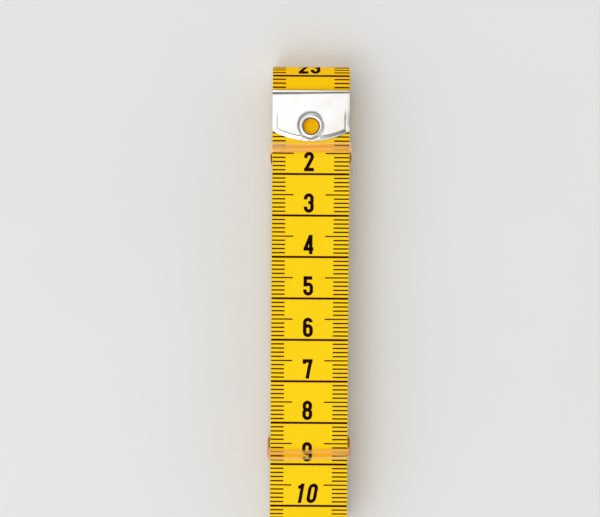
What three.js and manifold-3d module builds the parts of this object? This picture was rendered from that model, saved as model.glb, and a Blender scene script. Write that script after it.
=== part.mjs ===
// A cloth tape measure: a coated glass-cloth tape, wound turn on turn into a flat bundle,
// with a metal clip on each end, an eyelet in the outer clip and two elastic bands round the bundle.
//
// Frame, in millimetres: the bundle lies flat with its scale upwards. +X runs across the tape,
// +Y along the bundle towards the end with the eyelet, and +Z up. The origin is the middle of the
// underside, on the surface that the two bands rest on.

import * as THREE from "three";
import { mergeVertices } from "three/addons/utils/BufferGeometryUtils.js";
import Module from "manifold-3d";

const wasm = await Module();
wasm.setup();

// Tape
const tapeLength = 1500; // from the tip of one clip to the tip of the other
const tapeWidth = 18.6;
const tapeThickness = 0.4;

// Winding
const foldCount = 13; // half turns at the two ends of the bundle
const layerGap = 0.45; // air between one turn and the next
const coreClearance = 0.4; // air on each side of the inner clip
const innerRun = 76.5; // how far the tape runs on past its innermost fold
const foldSteps = 12; // flats that stand for one half turn

// Metal clips on the tape's ends
const plateThickness = 0.25;
const clipClearance = 0.05; // between the tape and each plate
const clipSideLength = 9.9; // along the tape's edges
const clipBulge = 2.35; // how much further the curved end reaches at the middle
const clipArcSteps = 96; // flats in the full circle that the curved end is part of
const clipTipSteps = 6; // flats round the folded tip

// Eyelet in the outer clip
const eyeletBore = 2.07; // radius
const eyeletWall = 0.23;
const eyeletFlangeWidth = 0.35; // beyond the barrel
const eyeletFlange = 0.3; // thickness on the front
const eyeletTail = 0.12; // thickness of the clenched tail on the back
const eyeletClearance = 0.05; // round the barrel, and under the flange and the tail
const eyeletMargin = 0.9; // plate left between the flange and the clip's curved end
const eyeletSides = 32;

// Bend line of the free end, just past the outer clip
const bendOffset = 0.38; // from the clip's curved end
const bendGap = 0.3; // slit that stands for the bend
const restGap = 0.1; // between the eyelet's tail and the turn below

// Elastic bands
const bandThickness = 0.75;
const bandClearance = 0.2; // round the tape
const bandCornerSteps = 5;
const upperBandWidth = 2.2;
const upperBandOffset = 0.72; // from the outer clip's curved end
const upperBandSlant = -2.4; // how far along +Y the band's back lies from its front
const lowerBandWidth = 2.5;
const lowerBandOffset = 10.3; // from the start of the fold at the far end
const lowerBandSlant = 3.3;

// Clip sizes that follow from these
const clipSlotHalf = tapeThickness / 2 + clipClearance;
const clipHalf = clipSlotHalf + plateThickness;
const clipLength = clipSideLength + clipBulge;
const tapeInset = plateThickness + clipClearance; // the tape stops this far inside a clip's tip
const eyeletBarrel = eyeletBore + eyeletWall;
const eyeletRim = eyeletBarrel + eyeletFlangeWidth;
const eyeletHole = eyeletBarrel + eyeletClearance;
const eyeletY = eyeletMargin + eyeletRim - clipLength; // from the clip's tip

// Radii of the folds, along the middle of the tape. Fold 0 is the outermost.
// The outer turn stands off by the clip and the eyelet's tail, and the innermost run lies midway in the core.
const pitch = tapeThickness + layerGap;
const outerGap = clipClearance + plateThickness + eyeletClearance + eyeletTail + restGap;
const coreRadius = clipHalf + coreClearance + tapeThickness / 2;

function foldRadius(fold) {
  if (fold === foldCount - 1) return coreRadius / 2;
  const turnsIn = foldCount - 2 - Math.max(fold, 1);
  const radius = coreRadius + (turnsIn * pitch) / 2;
  return fold === 0 ? radius + (tapeThickness + outerGap) / 2 : radius;
}

const radii = Array.from({ length: foldCount }, (_, fold) => foldRadius(fold));
const lengthInFolds = Math.PI * radii.reduce((sum, radius) => sum + radius, 0);
const runLength = (tapeLength - innerRun - lengthInFolds) / foldCount;

// Places along the bundle. Its two ends differ a little, and its box is centred on the origin.
const middleY = (radii[0] - radii[1]) / 2;
const topY = middleY + runLength / 2; // where the folds at the eyelet's end begin
const bottomY = middleY - runLength / 2;
const backZ = bandThickness + bandClearance + tapeThickness / 2;
const frontZ = backZ + 2 * radii[0];
const bendY = topY - clipLength - bendOffset;

// The innermost run heads the other way after each fold, so the count tells which way it ends.
const innerHeading = foldCount % 2 === 0 ? -1 : 1;
const innerTipY = (innerHeading > 0 ? bottomY : topY) + innerHeading * innerRun;

// Materials: colour, roughness and metalness
function finish(color, roughness, metalness) {
  return new THREE.MeshStandardMaterial({ color, roughness, metalness });
}
const yellowCoat = finish(0xfbd41c, 0.45, 0);
const nickel = finish(0xd9d8d4, 0.25, 1);
const amberRubber = finish(0xe5a25a, 0.35, 0);

// Solids for cutting and joining. Corners closer than the tolerance become one.
const mergeTolerance = 1e-4;

function solidOf(geometry) {
  const bare = geometry.clone();
  bare.deleteAttribute("normal");
  bare.deleteAttribute("uv");
  const merged = mergeVertices(bare, mergeTolerance);
  return new wasm.Manifold(
    new wasm.Mesh({
      numProp: 3,
      vertProperties: merged.getAttribute("position").array,
      triVerts: new Uint32Array(merged.getIndex().array),
    }),
  );
}

function geometryOf(solid) {
  const { vertProperties, triVerts } = solid.getMesh();
  const geometry = new THREE.BufferGeometry();
  geometry.setAttribute("position", new THREE.BufferAttribute(vertProperties, 3));
  geometry.setIndex(new THREE.BufferAttribute(triVerts, 1));
  geometry.computeVertexNormals();
  return geometry;
}

// A side view, drawn in Y and Z, given the width across X.
function acrossX(shape, width, curveSegments) {
  const geometry = new THREE.ExtrudeGeometry(shape, { depth: width, bevelEnabled: false, curveSegments });
  geometry.translate(0, 0, -width / 2);
  const sideView = new THREE.Matrix4().makeBasis(
    new THREE.Vector3(0, 1, 0),
    new THREE.Vector3(0, 0, 1),
    new THREE.Vector3(1, 0, 0),
  );
  return geometry.applyMatrix4(sideView);
}

// An upright cylinder, longer than any clip is thick.
function upright(radius, sides, y) {
  const height = 4 * clipHalf;
  const geometry = new THREE.CylinderGeometry(radius, radius, height, sides);
  return geometry.rotateX(Math.PI / 2).translate(0, y, 0);
}

function meshOf(name, geometry, material) {
  const mesh = new THREE.Mesh(geometry, material);
  mesh.name = name;
  return mesh;
}

// Stations along the middle of the wound tape, from the bend line to the inner end.
// Each has its place in Y and Z, and the direction of the tape's printed, outer face.
function windingStations() {
  const stations = [];
  let z = frontZ;
  stations.push({ y: bendY - bendGap / 2, z, outY: 0, outZ: 1 });
  radii.forEach((radius, fold) => {
    const atBottom = fold % 2 === 0;
    const side = atBottom ? -1 : 1;
    const centreY = atBottom ? bottomY : topY;
    const centreZ = z + side * radius;
    for (let step = 0; step <= foldSteps; step += 1) {
      const turned = (Math.PI * step) / foldSteps;
      const outY = side * Math.sin(turned);
      const outZ = -side * Math.cos(turned);
      stations.push({ y: centreY + radius * outY, z: centreZ + radius * outZ, outY, outZ });
    }
    z = centreZ + side * radius;
  });
  stations.push({ y: innerTipY - innerHeading * tapeInset, z, outY: 0, outZ: -innerHeading });
  return stations;
}

// The least air between two turns, measured on points spaced along the tape's middle line.
function leastGap(stations, spacing) {
  const points = [];
  let travelled = 0;
  for (let i = 1; i < stations.length; i += 1) {
    const [from, to] = [stations[i - 1], stations[i]];
    const length = Math.hypot(to.y - from.y, to.z - from.z);
    const count = Math.max(1, Math.ceil(length / spacing));
    for (let k = 0; k < count; k += 1) {
      const share = k / count;
      points.push({
        at: travelled + share * length,
        y: from.y + share * (to.y - from.y),
        z: from.z + share * (to.z - from.z),
      });
    }
    travelled += length;
  }
  const apart = Math.PI * coreRadius; // nearer than this along the tape is the same bend
  let least = Infinity;
  points.forEach((a, i) => {
    for (let j = i + 1; j < points.length; j += 1) {
      const b = points[j];
      if (b.at - a.at > apart) least = Math.min(least, Math.hypot(b.y - a.y, b.z - a.z));
    }
  });
  return least - tapeThickness;
}

// The wound tape: the outline of its edge, out along the printed face and back along the other.
function woundTape(stations) {
  console.log(`least gap between turns ${leastGap(stations, tapeThickness / 2).toFixed(3)} mm`);
  const half = tapeThickness / 2;
  const face = stations.map((at) => new THREE.Vector2(at.y + half * at.outY, at.z + half * at.outZ));
  const back = stations.map((at) => new THREE.Vector2(at.y - half * at.outY, at.z - half * at.outZ));
  return acrossX(new THREE.Shape([...face, ...back.reverse()]), tapeWidth);
}

// A clip: one plate folded round the tape's end. Its tip is at y = 0, its mouth faces -Y,
// and the tape's middle lies at z = 0. The far end is an arc, cut by an upright cylinder.
function clipSolid() {
  const shape = new THREE.Shape();
  shape.moveTo(-clipLength, -clipHalf);
  shape.lineTo(-clipHalf, -clipHalf);
  shape.absarc(-clipHalf, 0, clipHalf, -Math.PI / 2, Math.PI / 2);
  shape.lineTo(-clipLength, clipHalf);
  shape.lineTo(-clipLength, clipSlotHalf);
  shape.lineTo(-plateThickness, clipSlotHalf);
  shape.lineTo(-plateThickness, -clipSlotHalf);
  shape.lineTo(-clipLength, -clipSlotHalf);
  const arcRadius = ((tapeWidth / 2) ** 2 + clipBulge ** 2) / (2 * clipBulge);
  const folded = solidOf(acrossX(shape, tapeWidth, clipTipSteps));
  return folded.intersect(solidOf(upright(arcRadius, clipArcSteps, arcRadius - clipLength)));
}

function outerClip() {
  return geometryOf(clipSolid().subtract(solidOf(upright(eyeletHole, eyeletSides, eyeletY))));
}

// The tape inside the outer clip, up to the bend line.
function leadTape() {
  const length = clipLength + bendOffset - bendGap / 2 - tapeInset;
  const strip = new THREE.BoxGeometry(tapeWidth, length, tapeThickness);
  strip.translate(0, -tapeInset - length / 2, 0);
  return geometryOf(solidOf(strip).subtract(solidOf(upright(eyeletHole, eyeletSides, eyeletY))));
}

// The eyelet: a thin barrel with a flange on the front and a clenched tail on the back.
function eyelet() {
  const seat = clipHalf + eyeletClearance;
  const profile = [
    [eyeletBore, -seat - eyeletTail],
    [eyeletRim, -seat - eyeletTail],
    [eyeletRim, -seat],
    [eyeletBarrel, -seat],
    [eyeletBarrel, seat],
    [eyeletRim, seat],
    [eyeletRim, seat + eyeletFlange],
    [eyeletBore, seat + eyeletFlange],
    [eyeletBore, -seat - eyeletTail],
  ].map(([radius, height]) => new THREE.Vector2(radius, height));
  return new THREE.LatheGeometry(profile, eyeletSides).rotateX(Math.PI / 2).translate(0, eyeletY, 0);
}

// A band: a flat ring round the bundle, slanted so that its back lies further along than its front.
function roundedRectangle(path, halfWidth, halfHeight, corner) {
  const [x, y] = [halfWidth - corner, halfHeight - corner];
  path.moveTo(-x, -halfHeight);
  path.absarc(x, -y, corner, -Math.PI / 2, 0);
  path.absarc(x, y, corner, 0, Math.PI / 2);
  path.absarc(-x, y, corner, Math.PI / 2, Math.PI);
  path.absarc(-x, -y, corner, Math.PI, 1.5 * Math.PI);
  return path;
}

function band(width, slant) {
  const innerWidth = tapeWidth / 2 + bandClearance;
  const innerHeight = (frontZ - backZ + tapeThickness) / 2 + bandClearance;
  const innerCorner = 2 * bandClearance;
  const ring = roundedRectangle(
    new THREE.Shape(),
    innerWidth + bandThickness,
    innerHeight + bandThickness,
    innerCorner + bandThickness,
  );
  ring.holes.push(roundedRectangle(new THREE.Path(), innerWidth, innerHeight, innerCorner));
  const settings = { depth: width, bevelEnabled: false, curveSegments: bandCornerSteps };
  const geometry = new THREE.ExtrudeGeometry(ring, settings);
  geometry.translate(0, 0, -width / 2).rotateX(Math.PI / 2);
  const perHeight = -slant / (frontZ - backZ);
  return geometry.applyMatrix4(new THREE.Matrix4().makeShear(0, 0, 0, 0, 0, perHeight));
}

function placeBand(mesh, frontY, slant) {
  mesh.position.set(0, frontY + slant / 2, (frontZ + backZ) / 2);
  return mesh;
}

// Assembly
const tapeMeasure = new THREE.Group();

const stations = windingStations();
tapeMeasure.add(meshOf("tape_hank", woundTape(stations), yellowCoat));

const innerClip = meshOf("inner_clip", geometryOf(clipSolid()), nickel);
innerClip.position.set(0, innerTipY, stations.at(-1).z);
if (innerHeading < 0) innerClip.rotation.z = Math.PI;
tapeMeasure.add(innerClip);

const freeEnd = new THREE.Group();
freeEnd.position.set(0, topY, frontZ);
freeEnd.add(meshOf("tape_lead", leadTape(), yellowCoat));
freeEnd.add(meshOf("outer_clip", outerClip(), nickel));
freeEnd.add(meshOf("eyelet", eyelet(), nickel));
tapeMeasure.add(freeEnd);

const upperBand = meshOf("upper_elastic_band", band(upperBandWidth, upperBandSlant), amberRubber);
const upperBandY = topY - clipLength - upperBandOffset - upperBandWidth / 2;
tapeMeasure.add(placeBand(upperBand, upperBandY, upperBandSlant));

const lowerBand = meshOf("lower_elastic_band", band(lowerBandWidth, lowerBandSlant), amberRubber);
const lowerBandY = bottomY + lowerBandOffset + lowerBandWidth / 2;
tapeMeasure.add(placeBand(lowerBand, lowerBandY, lowerBandSlant));

export default tapeMeasure;
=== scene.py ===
# %% [markdown]
# # A cloth tape measure, dressed in Blender
# A sewing tape is one long strip of coated glass cloth. Here it is wound flat on itself, its first end is
# held in a folded metal clip with an eyelet, and two rubber bands keep the turns together.
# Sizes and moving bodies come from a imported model, which is called the frame. The frame stays as it is:
# this lesson builds finer pieces in the same place and gives each surface its finish.

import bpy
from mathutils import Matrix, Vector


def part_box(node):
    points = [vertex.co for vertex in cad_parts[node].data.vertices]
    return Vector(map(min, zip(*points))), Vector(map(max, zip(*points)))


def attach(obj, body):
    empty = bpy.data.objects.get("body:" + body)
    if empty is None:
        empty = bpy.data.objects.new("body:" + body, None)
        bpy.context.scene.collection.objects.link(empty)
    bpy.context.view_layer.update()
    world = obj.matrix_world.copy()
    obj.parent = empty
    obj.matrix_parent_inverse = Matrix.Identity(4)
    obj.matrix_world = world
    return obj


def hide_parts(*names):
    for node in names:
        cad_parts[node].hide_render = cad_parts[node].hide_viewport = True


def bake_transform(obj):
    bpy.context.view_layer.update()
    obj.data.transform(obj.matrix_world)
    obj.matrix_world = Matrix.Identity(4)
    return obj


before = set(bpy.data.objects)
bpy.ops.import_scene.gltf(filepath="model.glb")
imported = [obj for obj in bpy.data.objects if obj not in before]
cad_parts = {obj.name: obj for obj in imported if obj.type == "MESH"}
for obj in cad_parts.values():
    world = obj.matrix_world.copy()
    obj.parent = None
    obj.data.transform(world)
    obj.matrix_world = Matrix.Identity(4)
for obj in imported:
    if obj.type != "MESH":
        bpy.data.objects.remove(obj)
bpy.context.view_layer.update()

# %% Tools and units
import math

import bpy
import numpy as np
from mathutils import Vector
from mathutils.geometry import delaunay_2d_cdt

MM = 0.001


def box_mm(node):
    """The lowest and the highest corner of one solid of the frame, in millimetres."""
    low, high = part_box(node)
    return low / MM, high / MM


hank_low, hank_high = box_mm("tape_hank")
lead_low, lead_high = box_mm("tape_lead")
clip_low, clip_high = box_mm("outer_clip")
inner_low, inner_high = box_mm("inner_clip")
eyelet_low, eyelet_high = box_mm("eyelet")

# %% [markdown]
# ## The winding
# The tape goes to and fro in straight runs, joined by half turns that get smaller towards the middle.
# It could be drawn by hand as a curve, but print, cloth and clips all have to lie on the same path.
# So the path is one function: a length along the tape in, a place and a direction out.

# %% Driving sizes of the winding
FOLD_COUNT = 13
LAYER_GAP = 0.45

tape_width = lead_high.x - lead_low.x
tape_thickness = lead_high.z - lead_low.z
half_width = tape_width / 2
face_lift = tape_thickness / 2
tip_y = clip_high.y
tape_inset = tip_y - lead_high.y
front_z = hank_high.z - face_lift
back_z = hank_low.z + face_lift
outer_radius = (front_z - back_z) / 2
low_turn_y = hank_low.y + face_lift + outer_radius
print(f"tape {tape_width:.2f} mm wide, {tape_thickness:.2f} mm thick, folds from {outer_radius:.2f} mm")

# %% Runs and folds
turn_pitch = tape_thickness + LAYER_GAP
inner_clip_z = (inner_low.z + inner_high.z) / 2
second_radius = hank_high.y - face_lift - tip_y
run_z = [front_z, back_z, back_z + 2 * second_radius]
for run in range(3, FOLD_COUNT):
    inwards = -turn_pitch if run % 2 == 0 else turn_pitch
    run_z.append(run_z[run - 2] + inwards)
run_z = np.array(run_z + [inner_clip_z])

fold_radius = np.abs(np.diff(run_z)) / 2
print("fold radii, mm:", fold_radius.round(2).tolist())

# %% [markdown]
# A springy strip doesn't bend in a half circle: it curves most at the tip of the fold and eases into the
# runs. An arc would be easier to write, but it looks stiff. So the shape of one fold is summed up once,
# for a radius of 1, from an angle that starts and ends slowly.

# %% The shape of one fold
FOLD_EASE = 0.3
FOLD_SHARES = np.linspace(0.0, 1.0, 1001)
fold_angle = math.pi * (FOLD_SHARES - FOLD_EASE / math.tau * np.sin(math.tau * FOLD_SHARES))


def summed(rate):
    """Running sum of a rate over the shares of a fold."""
    return np.concatenate([[0.0], np.cumsum(rate[1:] + rate[:-1]) / 2 / (len(rate) - 1)])


fold_length = 2 / summed(np.sin(fold_angle))[-1]
fold_drop = fold_length * summed(np.sin(fold_angle))
fold_reach = fold_length * summed(np.cos(fold_angle))
fold_lead = (fold_length - math.pi) / 2
print(f"a fold of radius 1 is {fold_length:.2f} long and reaches {fold_reach.max() - fold_lead:.2f}")

# %% Runs between the folds
lead_after = np.append(fold_lead * fold_radius, 0.0)
lead_before = np.insert(fold_lead * fold_radius, 0, 0.0)
bend_length = np.append(fold_length * fold_radius, 0.0)
run_length = np.full(FOLD_COUNT + 1, tip_y - low_turn_y)
run_length[FOLD_COUNT] = inner_high.y - low_turn_y
run_length = run_length - lead_before - lead_after
leg_start = np.concatenate([[0.0], np.cumsum(run_length + bend_length)])
tape_end = leg_start[-1]
print(f"{FOLD_COUNT} folds, whole tape {tape_end:.1f} mm")


# %% The path of the tape
def smooth(start, end, value):
    """0 before start, 1 after end, and an easy S between them."""
    share = np.clip((value - start) / (end - start), 0.0, 1.0)
    return share * share * (3 - 2 * share)


def tape_path(length):
    """Middle of the tape's thickness at a length from its tip: y, z and the angle turned so far."""
    leg = np.clip(np.searchsorted(leg_start, length, side="right") - 1, 0, FOLD_COUNT)
    fold = np.minimum(leg, FOLD_COUNT - 1)
    straight = np.minimum(length - leg_start[leg], run_length[leg])
    bent = (length - leg_start[leg] - straight) / bend_length[fold]
    reach = lead_before[leg] + straight + fold_radius[fold] * np.interp(bent, FOLD_SHARES, fold_reach)
    drop = fold_radius[fold] * np.interp(bent, FOLD_SHARES, fold_drop)
    downwards = leg % 2 == 0
    y = np.where(downwards, tip_y - reach, low_turn_y + reach)
    z = run_z[leg] + np.where(downwards, -drop, drop)
    return y, z, leg * math.pi + np.interp(bent, FOLD_SHARES, fold_angle)


print("first fold at", [round(float(v), 2) for v in tape_path(np.array([run_length[0]]))[0]], "mm")

# %% [markdown]
# A real hank is never perfectly even. The outer turn is drawn tight, and the turns inside it wander by
# about a tenth of a millimetre. Noise could do that, but a few slow waves are easy to keep in bounds, so
# that no two turns meet and the bands slide without catching.

# %% Points on the tape's surface
TIGHT_SWAY, LOOSE_SWAY = 0.03, 0.09
TIGHT_SWELL, LOOSE_SWELL = 0.012, 0.15
SWAY_WAVES = ((61.0, 0.4), (23.0, 1.9))
SWELL_WAVES = ((47.0, 2.2), (19.0, 0.7), (31.0, 4.1))
STEADY_TIP = 30
SLACK_FROM, SLACK_FULL = 40, 160
HELD_FULL, HELD_FROM = 20, 60
outer_turn = leg_start[2]


def waves(length, pairs):
    """Slow waves along the tape, between -1 and 1."""
    return sum(np.sin(length / stretch + phase) for stretch, phase in pairs) / len(pairs)


def on_tape(length, across, lift):
    """Points at a length along the tape, a distance across it, and a lift out of its middle."""
    y, z, angle = tape_path(length)
    slack = smooth(SLACK_FROM, SLACK_FULL, length - outer_turn)
    slack = slack * smooth(HELD_FULL, HELD_FROM, tape_end - length)
    sway = (TIGHT_SWAY + (LOOSE_SWAY - TIGHT_SWAY) * slack) * waves(length, SWAY_WAVES)
    swell = (TIGHT_SWELL + (LOOSE_SWELL - TIGHT_SWELL) * slack) * waves(length, SWELL_WAVES)
    started = smooth(0, STEADY_TIP, length)
    rise = lift + swell * started
    x = across + sway * started
    return np.stack([x, y - rise * np.sin(angle), z + rise * np.cos(angle)], axis=-1)


print("tip of the tape:", on_tape(np.array([0.0]), np.array([0.0]), 0.0).round(2).tolist())

# %% [markdown]
# ## Thin sheets and swept rings
# Cloth, folded plate and dried ink are all thin sheets: a top layer, a bottom layer and a rim between.
# The eyelet and the bands are rings: one section carried round a closed path. Two small builders make
# every piece, and a Solidify modifier isn't needed, because both layers are known exactly.


# %% From points in millimetres to an object
def add_object(name, data):
    """Puts a mesh, a lamp or a camera into the scene."""
    made = bpy.data.objects.new(name, data)
    bpy.context.scene.collection.objects.link(made)
    return made


def make_piece(name, points, faces, finishes, places, sides=None, crease=35):
    """A new object; places are the points' own coordinates on the piece, which the finishes read."""
    mesh = bpy.data.meshes.new(name)
    mesh.from_pydata((np.asarray(points) * MM).tolist(), [], faces)
    for finish in finishes:
        mesh.materials.append(finish)
    if sides is not None:
        mesh.polygons.foreach_set("material_index", sides)
    layer = mesh.attributes.new("place", "FLOAT_VECTOR", "POINT")
    layer.data.foreach_set("vector", np.asarray(places, np.float32).ravel())
    mesh.shade_smooth()
    mesh.set_sharp_from_angle(angle=math.radians(crease))
    mesh.update()
    print(f"{name}: {len(mesh.vertices)} points, {len(mesh.polygons)} faces")
    return add_object(name, mesh)


# %% A closed sheet from two layers of points
TOP_SIDE, RIM_SIDE, BOTTOM_SIDE = 0, 1, 2


def sheet_piece(name, layers, net, finishes, flat, thirds):
    """A thin body from its top and bottom layer, which share one net of faces and their flat places."""
    top, bottom = layers
    a, b, c = top[net[0][:3]]
    if np.dot(np.cross(b - a, c - a), a - bottom[net[0][0]]) < 0:
        net = net[:, ::-1]
    count = len(top)
    edges = {(face[i - 1], face[i]) for face in net.tolist() for i in range(len(face))}
    rim = sorted(edge for edge in edges if edge[::-1] not in edges)
    faces = net.tolist() + (net[:, ::-1] + count).tolist()
    faces += [(end, start, start + count, end + count) for start, end in rim]
    sides = [TOP_SIDE] * len(net) + [BOTTOM_SIDE] * len(net) + [RIM_SIDE] * len(rim)
    places = [np.column_stack([flat, np.broadcast_to(third, count)]) for third in thirds]
    if len(finishes) == 1:
        sides = None
    return make_piece(name, np.concatenate(layers), faces, finishes, np.concatenate(places), sides)


# %% A ring from sections round a closed path
def ring_piece(name, sections, finish, places, crease):
    """A ring whose sections, all with the same number of points, follow each other round."""
    count, size = sections.shape[:2]
    faces = []
    for this in range(count):
        after = (this + 1) % count
        for i in range(size):
            j = (i + 1) % size
            faces.append((this * size + i, this * size + j, after * size + j, after * size + i))
    return make_piece(name, sections.reshape(-1, 3), faces, (finish,), places, crease=crease)


# %% [markdown]
# ## Shader maths as Python
# A finish is a small sum over the surface, such as weave plus stains. Nodes can be added one by one, but
# a sum is easier to read as a sum. The class below wraps a socket, so that `1 - mask * 0.3` adds its Math
# nodes by itself. Colours go through Mix nodes, because a Math node would turn them grey.


# %% A socket that Python can calculate with
def set_stops(greys, stops):
    """Places a colour ramp's stops, each a position and a grey."""
    while len(greys.elements) < len(stops):
        greys.elements.new(1.0)
    for element, (position, grey) in zip(greys.elements, stops):
        element.position = position
        element.color = (grey, grey, grey, 1)


class Wire:
    """An output socket of a node tree."""

    def __init__(self, tree, socket=None):
        self.tree = tree
        self.socket = socket

    def node(self, kind, settings=None, sockets=None, output=0):
        """Adds any node: its settings first, then its sockets' values or links."""
        made = self.tree.nodes.new(kind)
        for name, value in (settings or {}).items():
            if name == "stops":
                set_stops(made.color_ramp, value)
            else:
                setattr(made, name, value)
        for name, value in (sockets or {}).items():
            if isinstance(value, Wire):
                self.tree.links.new(value.socket, made.inputs[name])
            else:
                made.inputs[name].default_value = value
        return Wire(self.tree, made.outputs[output])

    def math(self, operation, *values):
        """A Math node on numbers or wires."""
        return self.node("ShaderNodeMath", {"operation": operation}, dict(enumerate(values)))

    def __add__(self, value):
        return self.math("ADD", self, value)

    def __sub__(self, value):
        return self.math("SUBTRACT", self, value)

    def __rsub__(self, value):
        return self.math("SUBTRACT", value, self)

    def __mul__(self, value):
        return self.math("MULTIPLY", self, value)

    def __truediv__(self, value):
        return self.math("DIVIDE", self, value)

    def __rtruediv__(self, value):
        return self.math("DIVIDE", value, self)

    __radd__ = __add__
    __rmul__ = __mul__


# %% Colours and finishes
FIRST_COLOUR, SECOND_COLOUR, MIXED_COLOUR = 6, 7, 2


def mix_colour(factor, first, second):
    """A colour between two colours, each a socket or three numbers."""
    first, second = (c if isinstance(c, Wire) else (*c, 1) for c in (first, second))
    sockets = {0: factor, FIRST_COLOUR: first, SECOND_COLOUR: second}
    return factor.node("ShaderNodeMix", {"data_type": "RGBA"}, sockets, output=MIXED_COLOUR)


def new_finish(name, fixed):
    """A material with its shader; values that are the same all over are set on the shader itself."""
    finish = bpy.data.materials.new(name)
    finish.use_nodes = True
    shader = finish.node_tree.nodes["Principled BSDF"]
    for socket, value in fixed.items():
        shader.inputs[socket].default_value = value
    return finish, shader, Wire(finish.node_tree)


def feed(shader, **wires):
    """Links what varies over the surface to the shader, such as Base_Color or Roughness."""
    for name, wire in wires.items():
        wire.tree.links.new(wire.socket, shader.inputs[name.replace("_", " ")])


# %% Marks that several finishes share
def place_on_piece(start):
    """The coordinates that each point of a piece carries, mostly across and along it in millimetres."""
    return start.node("ShaderNodeAttribute", {"attribute_name": "place"}, output="Vector")


def coordinate(place, letter):
    """One of the coordinates: X, Y or Z."""
    return place.node("ShaderNodeSeparateXYZ", None, {"Vector": place}, output=letter)


def stretched(place, size):
    """The same coordinates, measured in units of the three sizes given."""
    shares = tuple(1 / s for s in size)
    return place.node("ShaderNodeVectorMath", {"operation": "MULTIPLY"}, {0: place, 1: shares})


def clouds(place, size, detail=3.0):
    """Soft noise, from 0 to 1, in patches of about the three sizes given."""
    sockets = {"Vector": stretched(place, size), "Scale": 1.0, "Detail": detail}
    return place.node("ShaderNodeTexNoise", {"noise_dimensions": "3D"}, sockets)


def ramp(value, stops):
    """The grey that a colour ramp gives for a value."""
    return value.node("ShaderNodeValToRGB", {"stops": stops}, {"Fac": value})


def eased(value, start, end):
    """0 before the start, 1 after the end, and an easy S between them."""
    sockets = {"Value": value, "From Min": start, "From Max": end}
    return value.node("ShaderNodeMapRange", {"interpolation_type": "SMOOTHSTEP"}, sockets)


def bump(height, depth):
    """A normal that rises and falls with the height, by the depth in millimetres."""
    return height.node("ShaderNodeBump", None, {"Strength": 1.0, "Distance": depth * MM, "Height": height})


# %% [markdown]
# ## Coated glass cloth
# The strip is a fine plain weave of glass yarn under a yellow vinyl coat, white on the reverse. The coat
# fills the weave but not quite, so that the threads show as a soft grain. An image of cloth would repeat;
# two sine waves across and along the strip give the weave at its true pitch anywhere on the tape.

# %% The weave under the coat
THREAD_PITCH = 0.46


def weave(place):
    """Crossing threads, from -1 to 1."""
    turns = stretched(place, (THREAD_PITCH / math.tau, THREAD_PITCH / math.tau, 1.0))
    warp, weft = (turns.math("SINE", coordinate(turns, letter)) for letter in "XY")
    return warp * weft


# %% [markdown]
# The outer turn keeps the plain yellow, and the turns under it get a deeper yellow as painted shade. Where
# the next turn comes out from under the clip's tip, a narrow brown line is painted as the tip's shadow.
# Each of these has its place along the tape, so the finish reads the length along the tape and not a place
# in the room.

# %% Yellow face and white reverse
# The second yellow is painted shade for the turns under the outer one; it also tints threads and specks.
OUTER_YELLOW, DEEP_YELLOW = (0.984, 0.668, 0.009), (0.996, 0.522, 0.0004)
REVERSE_WHITE, REVERSE_GREY = (0.80, 0.79, 0.74), (0.66, 0.65, 0.60)
# A painted shadow: a narrow brown band across the tape, just past the clip's tip.
TIP_SHADOW_BROWN = (0.16, 0.07, 0.012)
INNER_SHADE_EASE, INNER_SHADE_BEFORE, SECOND_TURN_SHADE_EASE = 20, 12, 1
TIP_SHADOW_BEFORE, TIP_SHADOW_AFTER, TIP_SHADOW_SHARE = 0.25, 1.5, 0.7
PATCH_SIZE, SPECK_SIZE = (9.0, 16.0, 9.0), (0.5, 0.9, 0.5)
INNER_SHADE_SHARE, SECOND_TURN_SHADE_SHARE, PATCH_SHARE, PATCH_LEVEL = 0.62, 0.35, 0.25, 0.4
THREAD_SHARE, SPECK_SHARE = 0.05, 0.12
THREAD_HEIGHT, SPECK_HEIGHT, COAT_RELIEF = 0.6, 0.5, 0.012
COAT_ROUGH, SPECK_ROUGH = 0.34, 0.16
inner_shade_full_at = outer_turn - INNER_SHADE_BEFORE
tip_shadow_at = outer_turn - lead_before[2]


def coated_cloth(name, outer_tone, deep, tip_shadow_tone):
    """Satin coat over the weave, painted shade on the inner turns, painted shadow at the clip's tip."""
    finish, shader, start = new_finish(name, {"Specular IOR Level": 0.03, "IOR": 1.5})
    place = place_on_piece(start)
    along = coordinate(place, "Y")
    # Painted shade: deeper yellow over the last stretch of the back run, and more from the second turn on.
    covered = eased(along, inner_shade_full_at - INNER_SHADE_EASE, inner_shade_full_at)
    second_turn_shade = eased(along, outer_turn - SECOND_TURN_SHADE_EASE, outer_turn + SECOND_TURN_SHADE_EASE)
    # Painted shadow of the clip's tip, a narrow band across the tape.
    tip_shadow = eased(along, tip_shadow_at - TIP_SHADOW_BEFORE, tip_shadow_at) * (1 - eased(along, tip_shadow_at, tip_shadow_at + TIP_SHADOW_AFTER))
    threads = weave(place)
    patches = clouds(place, PATCH_SIZE)
    specks = clouds(place, SPECK_SIZE, detail=2.0)
    kept = covered * INNER_SHADE_SHARE + second_turn_shade * SECOND_TURN_SHADE_SHARE + (patches - PATCH_LEVEL) * PATCH_SHARE
    tone = mix_colour(kept, outer_tone, deep)
    tone = mix_colour(threads * THREAD_SHARE + specks * SPECK_SHARE, tone, deep)
    tone = mix_colour(tip_shadow * TIP_SHADOW_SHARE, tone, tip_shadow_tone)
    height = threads * THREAD_HEIGHT + specks * SPECK_HEIGHT
    rough = COAT_ROUGH + specks * SPECK_ROUGH
    feed(shader, Base_Color=tone, Roughness=rough, Normal=bump(height, COAT_RELIEF))
    return finish


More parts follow.
